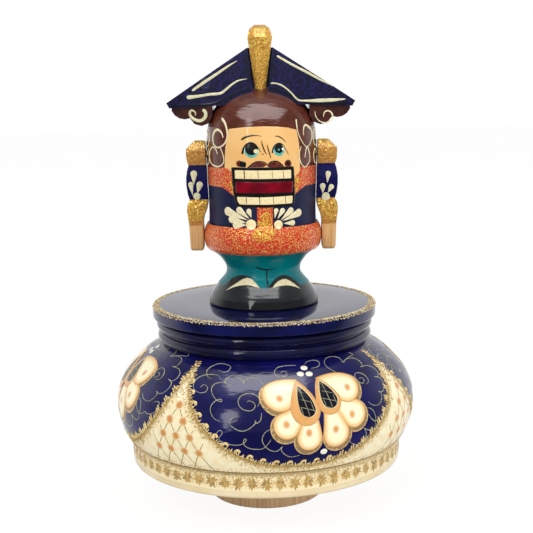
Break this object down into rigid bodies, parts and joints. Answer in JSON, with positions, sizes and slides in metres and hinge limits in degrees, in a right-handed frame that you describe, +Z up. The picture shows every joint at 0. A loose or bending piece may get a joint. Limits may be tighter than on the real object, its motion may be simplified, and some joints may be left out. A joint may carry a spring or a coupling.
{
  "type": "music box",
  "caption": "Wind-up turntable music box: a turned round box that twists on a small foot, topped by a wooden nutcracker soldier with a two-pointed hat and swinging arms.",
  "frame": {"origin": "centre of the foot's flat underside, on the turning axis", "axes": "+Z up along the turning axis, the soldier faces -Y, +X is the soldier's left"},
  "size_m": [0.12, 0.12, 0.1882],
  "materials": {
    "foot_wood": "bare turned wood",
    "cream_lacquer": "glossy cream lacquer with painted ornament",
    "blue_lacquer": "glossy cobalt lacquer with painted ornament",
    "navy_lacquer": "glossy navy lacquer with a gold edge",
    "soldier_paint": "glossy paint in several colours",
    "arm_paint": "gold glitter, blue and bare tan",
    "hat_paint": "glossy cobalt with cream strokes",
    "plume_gold": "gold glitter",
    "dowel_wood": "bare beech",
    "steel": "plain steel",
    "brass": "plain brass",
    "cast_frame": "grey cast zinc alloy, with cast iron's density",
    "washer_fibre": "plain"
  },
  "bodies": {
    "stand": {"foot_disc": "foot_wood", "turntable_flange": "steel", "flange_screws": "steel", "thrust_washer": "washer_fibre", "winding_arbor": "steel", "great_wheel": "brass"},
    "casing": {"base_cap": "cream_lacquer", "bowl": "blue_lacquer", "platform": "navy_lacquer", "figure_dowel": "dowel_wood", "figure_body": "soldier_paint", "shoulder_dowels": "dowel_wood", "hat_dowel": "dowel_wood", "hat": "hat_paint", "plume": "plume_gold", "bedplate": "cast_frame", "movement_screws": "steel", "spring_housing": "steel", "mainspring": "steel", "comb": "steel", "comb_screws": "steel", "gear_frame": "steel", "gear_frame_screws": "steel"},
    "cylinder": {"cylinder_shaft": "steel", "cylinder_pinion": "brass", "pinned_cylinder": "brass", "cylinder_gear": "brass"},
    "idler": {"idler_pinion": "steel", "idler_wheel": "brass"},
    "governor": {"governor_worm": "steel", "governor_fan": "brass"},
    "right_arm": {"right_arm": "arm_paint"},
    "left_arm": {"left_arm": "arm_paint"}
  },
  "joints": [
    {"name": "box_turn", "type": "hinge", "parent": "stand", "child": "casing", "pos_m": [0, 0, 0], "axis": [0, 0, 1], "continuous": true},
    {"name": "cylinder_spin", "type": "hinge", "parent": "casing", "child": "cylinder", "pos_m": [0, 0, 0.03905], "axis": [1, 0, 0], "continuous": true},
    {"name": "idler_spin", "type": "hinge", "parent": "casing", "child": "idler", "pos_m": [0, 0.008, 0.03905], "axis": [1, 0, 0], "continuous": true},
    {"name": "governor_spin", "type": "hinge", "parent": "casing", "child": "governor", "pos_m": [0.0344, 0.0156, 0], "axis": [0, 0, 1], "continuous": true},
    {"name": "right_arm_swing", "type": "hinge", "parent": "casing", "child": "right_arm", "pos_m": [-0.0222, 0, 0.1392], "axis": [-1, 0, 0], "range_deg": [-100, 110]},
    {"name": "left_arm_swing", "type": "hinge", "parent": "casing", "child": "left_arm", "pos_m": [0.0222, 0, 0.1392], "axis": [-1, 0, 0], "range_deg": [-100, 110]}
  ],
  "couplings": [
    {"joint": "cylinder_spin", "follows": "box_turn", "ratio": -2.4},
    {"joint": "idler_spin", "follows": "box_turn", "ratio": 7.2},
    {"joint": "governor_spin", "follows": "box_turn", "ratio": -216}
  ]
}
